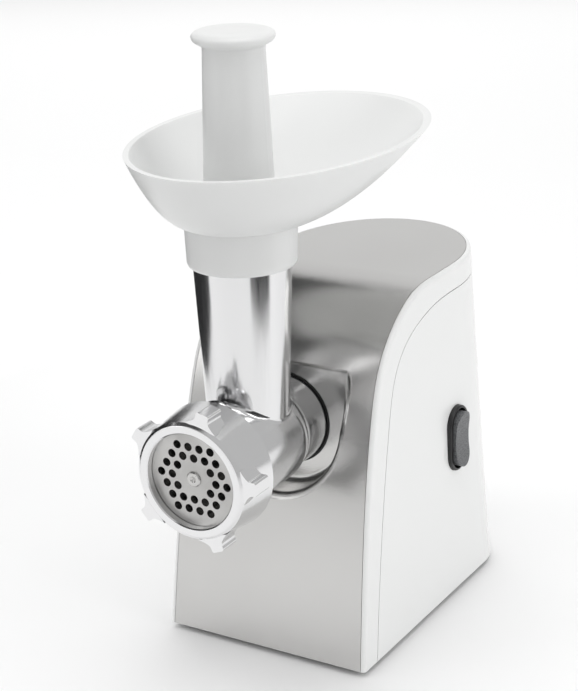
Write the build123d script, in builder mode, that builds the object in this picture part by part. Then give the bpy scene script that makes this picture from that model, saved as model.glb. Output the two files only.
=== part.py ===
from build123d import *
from math import acos, cos, degrees, pi, radians, sin, sqrt, tan
import os

# Electric meat grinder. Millimetres, +Z up. The origin is on the table under the middle of the
# machine: x = 0 is the plane of symmetry, the cutting plate faces -Y and the switch is on +X.

# ---------------------------------------------------------------- driving dimensions
gap = 0.3                      # clearance between pieces that move past each other
running = 0.05                 # radial clearance of a shaft in its bush

# body: a leaning front, straight sides that draw in upwards and a half-round back
panel_y = -62.5                # lower edge of the front panel
foot_height = 3.5
body_height = 188.5            # from the body's lower edge to its flat top
base_half_width = 61.1
top_half_width = 54.9
base_side_end = 146.0          # from the panel's lower edge to where the back starts to turn
top_side_end = 118.0
back_depth = 188.0             # from the panel's lower edge to the rearmost point
wall = 2.5                     # plastic wall
edge_radius = 2.3
steel = 0.8                    # sheet steel of the front and top cover
frame_margin = 2.4             # plastic edge that shows round the steel
flange = 9.0                   # ledge of the frame that the steel lies on

# head: everything that turns lies on the axis along Y at this height
axis_z = 125.8
chute_y = panel_y - 6.7
plate_front_y = panel_y - 58.6
ring_front_y = panel_y - 63.0
ring_back_y = panel_y - 38.0
shoulder_y = panel_y + 3.0
socket_floor_y = panel_y + 31.3
plate_radius = 27.0
plate_thickness = 5.0
neck_radius = 24.2
chute_foot_radius = 21.4       # outside radius at chute_foot_z
chute_foot_z = 148.0
chute_slope = 0.0452           # radius gained per millimetre of height
chute_top_z = 241.2

# hopper pan and pusher
pan_floor_z = 244.5
pan_rim_z = 279.0
pan_rim_x = 68.1
pan_rim_y = 98.4
pan_centre_y = panel_y + 34.0
pan_wall = 2.0
collar_radius = 28.2
pusher_top_z = 338.5
pusher_end_z = 188.5

# drive train, from the output wheel on the head's axis down to the motor
gear_room_y = panel_y + 50.0   # front face of the gear case
wheel_teeth, wheel_module, wheel_pinion_teeth = 52, 1.5, 13
second_teeth, second_module, second_pinion_teeth = 56, 1.0, 14
first_teeth, first_module, motor_pinion_teeth = 54, 0.8, 12


def facing(y):
    """The upright plane at y, looking out of the front: sketch x is +X, sketch y is height over the head axis."""
    return Plane(origin=(0, y, axis_z), x_dir=(1, 0, 0), z_dir=(0, -1, 0))


turning = Plane(origin=(0, 0, axis_z), x_dir=(0, 1, 0), z_dir=(1, 0, 0))
head_axis = Axis((0, 0, axis_z), (0, 1, 0))
chute_plane = Plane(origin=(0, chute_y, 0), x_dir=(1, 0, 0), z_dir=(0, -1, 0))
chute_axis = Axis((0, chute_y, 0), (0, 0, 1))


def save(part, name):
    part.label = name
    export_step(part, f"parts/{name}.step")


os.makedirs("parts", exist_ok=True)


# ---------------------------------------------------------------- the form of the body
def body_form(inset):
    """The whole body as one solid, with its sides and back drawn in by inset."""
    with BuildPart(mode=Mode.PRIVATE) as form:
        for height, half_width, side_end in (
            (0.0, base_half_width, base_side_end),
            (body_height + 10.0, top_half_width, top_side_end),
        ):
            w = half_width - inset
            y1 = panel_y + side_end
            with BuildSketch(Plane.XY.offset(foot_height + height)):
                with BuildLine():
                    Polyline((w, y1), (w, panel_y - 20), (-w, panel_y - 20), (-w, y1))
                    EllipticalCenterArc((0, y1), w, back_depth - side_end - inset, arc_size=180)
                make_face()
        loft(ruled=True)
    return form.part


def swept_profile(points):
    """Everything behind and below a curve that climbs the front and runs flat to the back."""
    back = panel_y + back_depth + 30.0
    with BuildPart(mode=Mode.PRIVATE) as swept:
        with BuildSketch(Plane.YZ.offset(-90)):
            with BuildLine():
                curve = Spline(*points, tangents=(lean, (1, 0)))
                Polyline(curve @ 1, (back, (curve @ 1).Y), (back, 0), (points[0][0], 0), curve @ 0)
            make_face()
        extrude(amount=180)
    return swept.part


# the front and top outline, from the lower edge to where it runs flat: distance back, height
front_outline = [(0, 0), (10.8, 77), (23.5, 133), (31.5, 154), (46.5, 172), (66, 184), (92, body_height)]
# the joint between the frame and the rear housing follows it about 14 mm further in
seam_outline = [(13.8, 0), (24.4, 66), (38.5, 128), (47, 150), (60.5, 163.5), (84, 172.5), (115, 175.5)]
lean = (0.125, 1.0)


def placed(outline, drop=0.0):
    """An outline in the machine's frame, moved inwards by drop."""
    points = []
    for i, (y, z) in enumerate(outline):
        y0, z0 = outline[max(i - 1, 0)]
        y1, z1 = outline[min(i + 1, len(outline) - 1)]
        length = sqrt((y1 - y0) ** 2 + (z1 - z0) ** 2)
        across = (z1 - z0) / length
        down = (y1 - y0) / length
        if i == len(outline) - 1:
            across, down = 0.0, 1.0
        points.append((panel_y + y + drop * across, foot_height + z - drop * down))
    return points


def behind_front(drop):
    return swept_profile(placed(front_outline, drop))


def behind_seam(drop):
    return swept_profile(placed(seam_outline, drop))


def body_block(inset, drop):
    """The body between its own sides and front outline, drawn in by inset and drop."""
    with BuildPart(mode=Mode.PRIVATE) as block:
        add(body_form(inset))
        add(behind_front(drop), mode=Mode.INTERSECT)
    return block.part


def disc(y_front, y_back, radius, at=(0, 0)):
    """A round bar along Y at a sketch position over the head axis."""
    with BuildPart(mode=Mode.PRIVATE) as bar:
        with BuildSketch(facing(y_back)):
            with Locations(at):
                Circle(radius)
        extrude(amount=y_back - y_front)
    return bar.part


def turned(points):
    """A solid turned about the head axis from (distance along Y, radius) points."""
    with BuildPart(mode=Mode.PRIVATE) as lathe:
        with BuildSketch(turning):
            with BuildLine():
                Polyline(*points, close=True)
            make_face()
        revolve(axis=head_axis)
    return lathe.part


outer_block = body_block(0, 0)
inner_block = body_block(wall, wall)


# ---------------------------------------------------------------- front and top cover
pocket_radius = 35.5
pocket_flare = 6.0             # the pocket is this much wider each side at its top than at the axis
pocket_top = 60.0              # over the axis, beyond where the pocket runs out of the panel
pocket_lip = 4.0
socket_hole = 25.5
cover_slit = 0.3               # dark line between the steel and the frame
lock_at = (-21.4, 21.4)        # catch button beside the socket, behind the chute
lock_radius = 3.8


def pocket(extra):
    """The pressed pocket round the socket, with its sheet thickness left out by extra."""
    r = pocket_radius + extra
    with BuildPart(mode=Mode.PRIVATE) as tool:
        with BuildSketch(facing(socket_floor_y + extra)):
            with BuildLine():
                bottom = CenterArc((0, 0), r, 180, 180)
                Polyline(bottom @ 1, (r + pocket_flare, pocket_top), (-r - pocket_flare, pocket_top), bottom @ 0)
            make_face()
        extrude(amount=50, taper=-3)
        fillet(tool.faces().sort_by(Axis.Y)[-1].edges(), 2.5 + extra)
    return tool.part


def pressed_skin(drop, extra, lip):
    """Everything behind the steel's surface, with the pocket pressed in and its lip rounded."""
    with BuildPart(mode=Mode.PRIVATE) as skin:
        add(body_form(frame_margin + cover_slit))
        add(behind_front(drop), mode=Mode.INTERSECT)
        add(pocket(extra), mode=Mode.SUBTRACT)
        mouths = [face.inner_wires()[0] for face in skin.faces() if face.inner_wires()]
        fillet(mouths[0].edges(), lip)
    return skin.part


with BuildPart() as front_cover:
    add(pressed_skin(0, 0, pocket_lip))
    add(pressed_skin(steel, steel, pocket_lip - steel), mode=Mode.SUBTRACT)
    add(disc(socket_floor_y - 5, socket_floor_y + 5, socket_hole), mode=Mode.SUBTRACT)
    add(disc(socket_floor_y - 5, socket_floor_y + 5, lock_radius + gap, lock_at), mode=Mode.SUBTRACT)
save(front_cover.part, "front_cover")


# ---------------------------------------------------------------- frame and rear housing
seam_slit = 0.55
sill_height = 10.0             # cross bar of the frame under the panel's lower edge
post_radius = 4.5
post_height = 40.0
post_places = [(-54.0, panel_y + 30), (54.0, panel_y + 30), (-53.0, panel_y + 146), (53.0, panel_y + 146)]
screw_radius = 1.6

switch_y = panel_y + 114.0
switch_z = foot_height + 90.0
bezel_width, bezel_height = 22.0, 38.0
bezel_face_x = 60.6
bezel_back_x = 46.0

gland_z = 22.0
gland_radius = 6.0
vent_width, vent_height, vent_pitch, vent_count = 44.0, 3.0, 6.5, 8
vent_low_z = 48.0


def on_side(x):
    """The upright plane at x, looking out of the side: sketch x is +Y and sketch y is +Z."""
    return Plane(origin=(x, switch_y, switch_z), x_dir=(0, 1, 0), z_dir=(1, 0, 0))


def stadium(x_from, x_to, width, height):
    """A bar along X with a stadium section, standing upright at the switch."""
    with BuildPart(mode=Mode.PRIVATE) as bar:
        with BuildSketch(on_side(x_from)):
            SlotOverall(height, width, rotation=90)
        extrude(amount=x_to - x_from)
    return bar.part


with BuildPart(mode=Mode.PRIVATE) as rounded_block:
    add(outer_block)
    boxes = [(edge, edge.bounding_box()) for edge in rounded_block.edges()]
    up_the_front = [e for e, box in boxes if box.min.Y < panel_y + 1 and box.max.Z > body_height]
    round_the_top = [e for e, box in boxes if box.min.Z > body_height and box.size.Y > 5]
    fillet(up_the_front + round_the_top, edge_radius)

with BuildPart(mode=Mode.PRIVATE) as frame_window:
    add(body_form(frame_margin + flange))
    with BuildSketch(Plane.XY):
        Rectangle(200, 600)
    extrude(amount=foot_height + sill_height, mode=Mode.SUBTRACT)

with BuildPart(mode=Mode.PRIVATE) as cover_recess:
    add(body_form(frame_margin))
    add(behind_front(steel + 0.1), mode=Mode.SUBTRACT)

with BuildPart() as rim_frame:
    add(rounded_block.part)
    add(inner_block, mode=Mode.SUBTRACT)
    add(behind_seam(0), mode=Mode.SUBTRACT)
    add(frame_window.part, mode=Mode.SUBTRACT)
    add(cover_recess.part, mode=Mode.SUBTRACT)
save(rim_frame.part, "rim_frame")

with BuildPart() as rear_housing:
    add(rounded_block.part)
    add(inner_block, mode=Mode.SUBTRACT)
    add(behind_seam(seam_slit), mode=Mode.INTERSECT)
    with BuildSketch(Plane.XY.offset(foot_height + 3.2)):
        with Locations(*post_places):
            Circle(post_radius)
    extrude(amount=post_height)
    with BuildSketch(Plane.XY.offset(foot_height)):
        with Locations(*post_places):
            Circle(screw_radius)
    extrude(amount=20, mode=Mode.SUBTRACT)
    add(stadium(bezel_back_x, bezel_face_x + 5, bezel_width + 0.2, bezel_height + 0.2), mode=Mode.SUBTRACT)
    add(disc(back_depth + panel_y - 10, back_depth + panel_y + 5, gland_radius + 0.1, (0, gland_z - axis_z)),
        mode=Mode.SUBTRACT)
    with BuildSketch(facing(back_depth + panel_y + 5)):
        for row in range(vent_count):
            with Locations((0, vent_low_z + row * vent_pitch - axis_z)):
                SlotOverall(vent_width, vent_height)
    extrude(amount=30, mode=Mode.SUBTRACT)
save(rear_housing.part, "rear_housing")


# ---------------------------------------------------------------- gear train layout
# Sketch positions over the head axis. The chain of centres runs down to the motor shaft.
wheel_distance = wheel_module * (wheel_teeth + wheel_pinion_teeth) / 2
second_distance = second_module * (second_teeth + second_pinion_teeth) / 2
first_distance = first_module * (first_teeth + motor_pinion_teeth) / 2
second_angle = -75.0
first_angle = 200.0


def polar(centre, distance, angle):
    return (centre[0] + distance * cos(radians(angle)), centre[1] + distance * sin(radians(angle)))


wheel_at = (0.0, 0.0)
second_at = polar(wheel_at, wheel_distance, second_angle)
first_at = polar(second_at, second_distance, first_angle)
motor_angle = -degrees(acos(-first_at[0] / first_distance))
motor_at = polar(first_at, first_distance, motor_angle)

pressure_angle = radians(25)
addendum, dedendum, backlash = 0.8, 1.1, 0.12   # in modules: stub teeth, so small pinions need no undercut
flank_steps = 4


def gear_outline(teeth, module, phase):
    """Points round an involute gear whose first tooth points at the angle phase, in degrees."""
    pitch_radius = module * teeth / 2
    base_radius = pitch_radius * cos(pressure_angle)
    tip = pitch_radius + addendum * module
    root = pitch_radius - dedendum * module
    half_at_pitch = pi / (2 * teeth) - backlash * module / (2 * pitch_radius)

    def involute(radius):
        roll = acos(min(1.0, base_radius / radius))
        return tan(roll) - roll

    start = max(base_radius, root)
    points = []
    for tooth in range(teeth):
        middle = radians(phase) + 2 * pi * tooth / teeth
        flank = []
        for step in range(flank_steps + 1):
            radius = start + (tip - start) * step / flank_steps
            half = half_at_pitch + involute(pitch_radius) - involute(radius)
            flank.append((radius, half))
        if start > root:
            flank.insert(0, (root, flank[0][1]))
        turns = [(r, middle - a) for r, a in flank] + [(r, middle + a) for r, a in reversed(flank)]
        points += [(r * cos(a), r * sin(a)) for r, a in turns]
    return points


def mesh_phase(angle, driver_teeth, driver_phase, driven_teeth):
    """The phase of a driven gear that lies at angle from its driver and takes its teeth in mesh."""
    return angle + 180 - (driver_phase - angle) * driver_teeth / driven_teeth + 180 / driven_teeth


def gear(y_front, y_back, at, teeth, module, phase):
    with BuildPart(mode=Mode.PRIVATE) as wheel:
        with BuildSketch(facing(y_back)):
            with Locations(at):
                with BuildLine(mode=Mode.PRIVATE) as ring:
                    Polyline(*gear_outline(teeth, module, phase), close=True)
                add(make_face(ring.line, mode=Mode.PRIVATE))
        extrude(amount=y_back - y_front)
    return wheel.part


case_front = gear_room_y
case_wall = 3.0
case_back = case_front + 37.0
case_cover_back = case_back + 3.0
wheel_front, wheel_back = case_front + 5.0, case_front + 17.0
second_front, second_back = case_front + 19.0, case_front + 27.0
first_front, first_back = case_front + 29.0, case_front + 35.0

output_shaft_radius = 11.0
output_tail_radius = 6.0
pin_radius = 4.0
small_pin_radius = 3.0
hex_across = 13.0
boss_radius = 4.6


def case_outline(y_front, y_back, margin):
    """The hull round the four gears, margin away from their tips, as a bar along Y."""
    reach = [
        (wheel_at, wheel_module * (wheel_teeth / 2 + addendum)),
        (second_at, second_module * (second_teeth / 2 + addendum)),
        (first_at, first_module * (first_teeth / 2 + addendum)),
        (motor_at, 9.0),
    ]
    with BuildPart(mode=Mode.PRIVATE) as bar:
        with BuildSketch(facing(y_back)):
            for at, radius in reach:
                with Locations(at):
                    Circle(radius + margin)
            make_hull()
        extrude(amount=y_back - y_front)
    return bar.part


case_margin = 1.5
case_side = 2.6
boss_places = [polar(wheel_at, 45.5, 38), polar(wheel_at, 45.5, 142), polar(wheel_at, 47, -21),
               polar(first_at, 27.5, 165), polar(motor_at, 16.5, -62), polar(first_at, 27.5, 252)]


def bars(y_front, y_back, radius, places):
    """Round bars along Y, all in one part."""
    with BuildPart(mode=Mode.PRIVATE) as group:
        with BuildSketch(facing(y_back)):
            with Locations(*places):
                Circle(radius)
        extrude(amount=y_back - y_front)
    return group.part


with BuildPart() as gearbox_housing:
    add(case_outline(case_front, case_back, case_margin + case_side))
    add(bars(case_front, case_back, boss_radius, boss_places))
    add(case_outline(case_front + case_wall, case_back + 1, case_margin), mode=Mode.SUBTRACT)
    add(disc(case_front - 1, case_front + case_wall + 1, 13.0), mode=Mode.SUBTRACT)
    add(bars(case_front - 1, case_front + case_wall + 1, pin_radius + 0.02, [second_at, first_at]),
        mode=Mode.SUBTRACT)
    add(bars(case_back - 16, case_back + 1, screw_radius, boss_places), mode=Mode.SUBTRACT)
save(gearbox_housing.part, "gearbox_housing")

with BuildPart() as gearbox_cover:
    add(case_outline(case_back, case_cover_back, case_margin + case_side))
    add(bars(case_back, case_cover_back, boss_radius, boss_places))
    add(disc(case_back - 1, case_cover_back + 1, output_tail_radius + 2.0), mode=Mode.SUBTRACT)
    add(bars(case_back - 1, case_cover_back + 1, pin_radius + 0.02, [second_at, first_at]), mode=Mode.SUBTRACT)
    add(bars(case_back - 1, case_cover_back + 1, 6.5, [motor_at]), mode=Mode.SUBTRACT)
    add(bars(case_back - 1, case_cover_back + 1, screw_radius, boss_places), mode=Mode.SUBTRACT)
save(gearbox_cover.part, "gearbox_cover")

with BuildPart() as gearbox_screws:
    add(bars(case_back - 14, case_cover_back, screw_radius - 0.02, boss_places))
    add(bars(case_cover_back, case_cover_back + 1.8, 2.9, boss_places))
save(gearbox_screws.part, "gearbox_screws")

with BuildPart() as gear_pins:
    add(bars(case_front + 0.2, case_cover_back - 0.2, pin_radius, [second_at, first_at]))
save(gear_pins.part, "gear_pins")

with BuildPart() as output_bushes:
    add(disc(case_front, case_front + case_wall + 1.4, 12.98))
    add(disc(case_front - 1, case_front + case_wall + 2, output_shaft_radius + running), mode=Mode.SUBTRACT)
    add(disc(case_back - 1.5, case_cover_back, output_tail_radius + 1.98))
    add(disc(case_back - 2, case_cover_back + 1, output_tail_radius + running), mode=Mode.SUBTRACT)
save(output_bushes.part, "output_bushes")

# phases run from the motor pinion up to the output wheel
motor_pinion_phase = 0.0
first_phase = mesh_phase(motor_angle + 180, motor_pinion_teeth, motor_pinion_phase, first_teeth)
first_pinion_phase = 0.0
second_phase = mesh_phase(first_angle + 180, second_pinion_teeth, first_pinion_phase, second_teeth)
second_pinion_phase = 0.0
wheel_phase = mesh_phase(second_angle + 180, wheel_pinion_teeth, second_pinion_phase, wheel_teeth)

with BuildPart() as output_shaft:
    add(disc(case_front - 2.0, wheel_back + 1, output_shaft_radius))
    add(disc(wheel_back + 1, case_cover_back - 0.3, output_tail_radius))
    with BuildSketch(facing(wheel_back)):
        RegularPolygon(hex_across / 2 + 0.15, 6, major_radius=False)
    extrude(amount=wheel_back - case_front + 5, mode=Mode.SUBTRACT)
save(output_shaft.part, "output_shaft")

with BuildPart() as output_gear:
    add(gear(wheel_front, wheel_back, wheel_at, wheel_teeth, wheel_module, wheel_phase))
    add(disc(wheel_front - 1, wheel_back + 1, output_shaft_radius), mode=Mode.SUBTRACT)
    with BuildSketch(facing(wheel_back + 1)):
        with PolarLocations(24.0, 6):
            Circle(6.5)
    extrude(amount=wheel_back - wheel_front + 2, mode=Mode.SUBTRACT)
save(output_gear.part, "output_gear")

with BuildPart() as second_gear:
    add(gear(second_front, second_back, second_at, second_teeth, second_module, second_phase))
    add(gear(wheel_front - 0.5, second_front, second_at, wheel_pinion_teeth, wheel_module, second_pinion_phase))
    add(bars(case_front, case_back, pin_radius + running, [second_at]), mode=Mode.SUBTRACT)
save(second_gear.part, "second_gear")

with BuildPart() as first_gear:
    add(gear(first_front, first_back, first_at, first_teeth, first_module, first_phase))
    add(gear(second_front - 0.5, first_front, first_at, second_pinion_teeth, second_module, first_pinion_phase))
    add(bars(case_front, case_back, pin_radius + running, [first_at]), mode=Mode.SUBTRACT)
save(first_gear.part, "first_gear")

with BuildPart() as motor_pinion:
    add(gear(first_front - 0.5, first_back + 1.5, motor_at, motor_pinion_teeth, first_module, motor_pinion_phase))
    add(bars(case_front, case_back + 5, small_pin_radius, [motor_at]), mode=Mode.SUBTRACT)
save(motor_pinion.part, "motor_pinion")


# ---------------------------------------------------------------- motor
bracket_front = case_cover_back + 2.5
fan_front, fan_back = bracket_front + 8.0, bracket_front + 16.0
coil_front = bracket_front + 18.5
core_front, core_back = coil_front + 6.5, coil_front + 40.5
coil_back = core_back + 6.5
rotor_front, rotor_back = core_front + 1.5, core_back - 1.5
brush_y = core_back + 11.5
rear_plate_front = core_back + 19.0
shaft_back = rear_plate_front + 7.0
core_width, core_height = 62.0, 60.0
rotor_radius = 17.7
air_gap = 0.6
coil_inner, coil_outer = 19.0, 24.3
slot_half_width = 12.4
shaft_radius = 4.0
rotor_slots = 12
fan_blades = 9
fan_radius = 26.0
commutator_radius = 10.0
commutator_bars = 24
arm_places = [(motor_at[0] + sx * 25.5, motor_at[1] + sz * 24.5) for sx in (-1, 1) for sz in (-1, 1)]


def ring_bar(y_front, y_back, inner, outer):
    """A tube along Y on the motor's axis."""
    with BuildPart(mode=Mode.PRIVATE) as tube:
        with BuildSketch(facing(y_back)):
            with Locations(motor_at):
                Circle(outer)
                Circle(inner, mode=Mode.SUBTRACT)
        extrude(amount=y_back - y_front)
    return tube.part


def block(x, y, z, at=(0, 0, 0)):
    """A plain box about a point."""
    with BuildPart(mode=Mode.PRIVATE) as solid:
        with Locations(at):
            Box(x, y, z)
    return solid.part


motor_z = axis_z + motor_at[1]
slot_cut = block(2 * slot_half_width, 200, 120, (0, 0, motor_z))

with BuildPart(mode=Mode.PRIVATE) as slot_ring:
    add(ring_bar(core_front - 1, core_back + 1, rotor_radius, coil_outer + 0.4))
    add(slot_cut, mode=Mode.INTERSECT)

with BuildPart() as stator_core:
    with BuildSketch(facing(core_back)):
        with Locations(motor_at):
            RectangleRounded(core_width, core_height, 9)
            Circle(rotor_radius + air_gap, mode=Mode.SUBTRACT)
    extrude(amount=core_back - core_front)
    add(slot_ring.part, mode=Mode.SUBTRACT)
save(stator_core.part, "stator_core")

with BuildPart() as field_coils:
    add(ring_bar(coil_front, coil_back, coil_inner, coil_outer))
    add(block(5, 200, 120, (0, 0, motor_z)), mode=Mode.SUBTRACT)
    with BuildPart(mode=Mode.PRIVATE) as pole_room:
        add(ring_bar(core_front - 0.3, core_back + 0.3, 5, coil_outer + 5))
        add(block(2 * slot_half_width - 0.6, 200, 120, (0, 0, motor_z)), mode=Mode.SUBTRACT)
    add(pole_room.part, mode=Mode.SUBTRACT)
save(field_coils.part, "field_coils")

with BuildPart() as rotor_core:
    add(ring_bar(rotor_front, rotor_back, shaft_radius, rotor_radius))
    with BuildSketch(facing(rotor_back + 1)):
        with Locations(motor_at):
            with PolarLocations(14.6, rotor_slots):
                Rectangle(6.4, 3.0)
    extrude(amount=rotor_back - rotor_front + 2, mode=Mode.SUBTRACT)
save(rotor_core.part, "rotor_core")

with BuildPart() as rotor_winding:
    add(ring_bar(rotor_front - 5.5, rotor_front, 8.5, 16.4))
    add(ring_bar(rotor_back, rotor_back + 5.5, 8.5, 16.4))
    with BuildSketch(facing(rotor_back)):
        with Locations(motor_at):
            with PolarLocations(14.0, rotor_slots):
                Rectangle(4.6, 2.8)
    extrude(amount=rotor_back - rotor_front)
save(rotor_winding.part, "rotor_winding")

with BuildPart() as rotor_shaft:
    add(bars(first_front - 1, bracket_front + 6.6, small_pin_radius, [motor_at]))
    add(bars(bracket_front + 6.6, rear_plate_front - 0.2, shaft_radius, [motor_at]))
    add(bars(rear_plate_front - 0.2, shaft_back, small_pin_radius, [motor_at]))
save(rotor_shaft.part, "rotor_shaft")

with BuildPart() as commutator:
    add(ring_bar(rotor_back + 6.5, rotor_back + 17.5, shaft_radius, commutator_radius))
    with BuildSketch(facing(rotor_back + 18)):
        with Locations(motor_at):
            with PolarLocations(commutator_radius, commutator_bars):
                Rectangle(2.0, 0.5)
    extrude(amount=12, mode=Mode.SUBTRACT)
save(commutator.part, "commutator")

with BuildPart() as cooling_fan:
    add(ring_bar(fan_front, fan_back, shaft_radius, 9))
    add(ring_bar(fan_back - 1.6, fan_back, 8.5, fan_radius))
    with BuildSketch(facing(fan_back)):
        with Locations(motor_at):
            with PolarLocations(17.0, fan_blades):
                Rectangle(17.6, 1.6, rotation=18)
    extrude(amount=fan_back - fan_front)
save(cooling_fan.part, "cooling_fan")

with BuildPart() as motor_bearings:
    add(ring_bar(bracket_front + 0.6, bracket_front + 6.4, small_pin_radius + running, 8.0))
    add(ring_bar(rear_plate_front, rear_plate_front + 5.8, small_pin_radius + running, 8.0))
save(motor_bearings.part, "motor_bearings")

with BuildPart() as motor_front_bracket:
    with BuildSketch(facing(bracket_front + 3.0)):
        with Locations(motor_at):
            RectangleRounded(core_width, core_height, 9)
            with PolarLocations(19.5, 6):
                Circle(5.5, mode=Mode.SUBTRACT)
    extrude(amount=3.0)
    add(bars(case_cover_back, bracket_front + 7.2, 10.5, [motor_at]))
    add(bars(bracket_front, core_front, 4.2, arm_places))
    add(bars(case_cover_back - 1, bracket_front + 8, 6.4, [motor_at]), mode=Mode.SUBTRACT)
    add(bars(bracket_front + 0.5, bracket_front + 8, 8.02, [motor_at]), mode=Mode.SUBTRACT)
    add(bars(bracket_front - 1, core_front, screw_radius, arm_places), mode=Mode.SUBTRACT)
save(motor_front_bracket.part, "motor_front_bracket")

holder_height, holder_width = 8.0, 9.0
brush_height, brush_width = 5.0, 6.0
with BuildPart() as motor_rear_bracket:
    add(block(core_width - 2, 3.5, 26, (0, rear_plate_front + 4.6, motor_z)))
    for side in (-1, 1):
        add(block(4.0, rear_plate_front + 3 - core_back, 26,
                  (side * 28.0, (core_back + rear_plate_front + 3) / 2, motor_z)))
        add(block(4.6, holder_width + 0.1, holder_height + 0.1, (side * 28.0, brush_y, motor_z)),
            mode=Mode.SUBTRACT)
    add(bars(rear_plate_front - 0.5, rear_plate_front + 7.2, 10.5, [motor_at]))
    add(bars(rear_plate_front - 1, rear_plate_front + 5.9, 8.02, [motor_at]), mode=Mode.SUBTRACT)
    add(bars(rear_plate_front + 5, rear_plate_front + 8, 5.0, [motor_at]), mode=Mode.SUBTRACT)
save(motor_rear_bracket.part, "motor_rear_bracket")

with BuildPart() as brush_holders:
    for side in (-1, 1):
        add(block(19.0, holder_width, holder_height, (side * 21.5, brush_y, motor_z)))
        add(block(20.0, brush_width + 0.2, brush_height + 0.2, (side * 21.5, brush_y, motor_z)),
            mode=Mode.SUBTRACT)
save(brush_holders.part, "brush_holders")

with BuildPart() as carbon_brushes:
    for side in (-1, 1):
        add(block(11.0, brush_width, brush_height, (side * 15.0, brush_y, motor_z)))
    add(ring_bar(brush_y - 5, brush_y + 5, 0.5, commutator_radius + running), mode=Mode.SUBTRACT)
save(carbon_brushes.part, "carbon_brushes")

with BuildPart() as brush_caps:
    for side in (-1, 1):
        add(block(1.6, holder_width, holder_height, (side * 31.8, brush_y, motor_z)))
        add(block(2.4, brush_width, brush_height, (side * 30.0, brush_y, motor_z)))
save(brush_caps.part, "brush_caps")


def coil_spring(start, direction, length, radius, wire, pitch):
    """A round-wire spring along direction from the centre of its first end."""
    turn = Vector(*direction)
    with BuildPart(mode=Mode.PRIVATE) as spring:
        with BuildLine():
            run = Helix(pitch=pitch, height=length, radius=radius, center=start, direction=direction)
        with BuildSketch(Plane(origin=run @ 0, x_dir=turn, z_dir=run % 0)):
            Circle(wire / 2)
        sweep(path=run, is_frenet=True)
    return spring.part


with BuildPart() as brush_springs:
    for side in (-1, 1):
        add(coil_spring((side * 21.2, brush_y, motor_z), (side, 0, 0), 6.6, 1.9, 0.5, 1.6))
save(brush_springs.part, "brush_springs")

with BuildPart() as motor_screws:
    add(bars(bracket_front - 1.6, bracket_front, 3.0, arm_places))
    add(bars(bracket_front - 1.6, core_front, screw_radius - 0.02, arm_places))
save(motor_screws.part, "motor_screws")


# ---------------------------------------------------------------- base, feet and fittings
plate_height = 3.0
plate_top_z = foot_height + plate_height
foot_places = [(-50.0, panel_y + 19), (50.0, panel_y + 19), (-46.0, panel_y + 157), (46.0, panel_y + 157)]
foot_radius = 7.5
stem_radius = 2.5
screw_head_radius, screw_head_height = 3.0, 1.6
saddle_z = 40.0

with BuildPart() as base_plate:
    add(body_block(wall + 0.25, wall + 0.25))
    with BuildSketch(Plane.XY.offset(plate_top_z)):
        Rectangle(400, 600)
    extrude(amount=300, mode=Mode.SUBTRACT)
    with BuildSketch(Plane.XY.offset(foot_height - 1)):
        with Locations(*foot_places):
            Circle(stem_radius)
        with Locations(*post_places):
            Circle(screw_radius + 0.2)
        with Locations((0, panel_y + 101)):
            with GridLocations(0, 7, 1, 5):
                SlotOverall(50, 3.2)
    extrude(amount=plate_height + 2, mode=Mode.SUBTRACT)
    add(block(36, case_back - case_front - 12, saddle_z - plate_top_z,
              (0, (case_front + case_back) / 2, (saddle_z + plate_top_z) / 2)))
    add(case_outline(case_front - 1, case_back + 1, case_margin + case_side), mode=Mode.SUBTRACT)
    add(bars(case_front - 1, case_back + 1, boss_radius + 0.2, boss_places), mode=Mode.SUBTRACT)
save(base_plate.part, "base_plate")

with BuildPart() as rubber_feet:
    with BuildSketch(Plane.XY):
        with Locations(*foot_places):
            Circle(foot_radius)
    extrude(amount=foot_height)
    chamfer(rubber_feet.edges().group_by(Axis.Z)[0], 0.8)
    with BuildSketch(Plane.XY.offset(foot_height)):
        with Locations(*foot_places):
            Circle(stem_radius)
    extrude(amount=plate_height + 1.2)
save(rubber_feet.part, "rubber_feet")

with BuildPart() as base_screws:
    with BuildSketch(Plane.XY.offset(foot_height - screw_head_height)):
        with Locations(*post_places):
            Circle(screw_head_radius)
    extrude(amount=screw_head_height)
    with BuildSketch(Plane.XY.offset(foot_height - screw_head_height)):
        with Locations(*post_places):
            Rectangle(3.6, 0.8)
            Rectangle(0.8, 3.6)
    extrude(amount=0.9, mode=Mode.SUBTRACT)
    with BuildSketch(Plane.XY.offset(foot_height)):
        with Locations(*post_places):
            Circle(screw_radius - 0.02)
    extrude(amount=16)
save(base_screws.part, "base_screws")

with BuildPart() as motor_cushion:
    add(block(40, core_back - core_front - 6, 16, (0, (core_front + core_back) / 2, plate_top_z + 8)))
    with BuildSketch(facing(core_back)):
        with Locations(motor_at):
            RectangleRounded(core_width, core_height, 9)
    extrude(amount=core_back - core_front, mode=Mode.SUBTRACT)
save(motor_cushion.part, "motor_cushion")

with BuildPart() as cord_gland:
    gland_at = [(0, gland_z - axis_z)]
    rear_y = panel_y + back_depth
    add(bars(rear_y - 4.8, rear_y - 3.1, 9.0, gland_at))
    add(bars(rear_y - 4.8, rear_y + 1.5, gland_radius, gland_at))
    add(bars(rear_y + 0.1, rear_y + 1.5, 9.0, gland_at))
    fillet(cord_gland.faces().sort_by(Axis.Y)[-1].outer_wire().edges(), 0.7)
    add(bars(rear_y - 6, rear_y + 3, 3.7, gland_at), mode=Mode.SUBTRACT)
save(cord_gland.part, "cord_gland")

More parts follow.
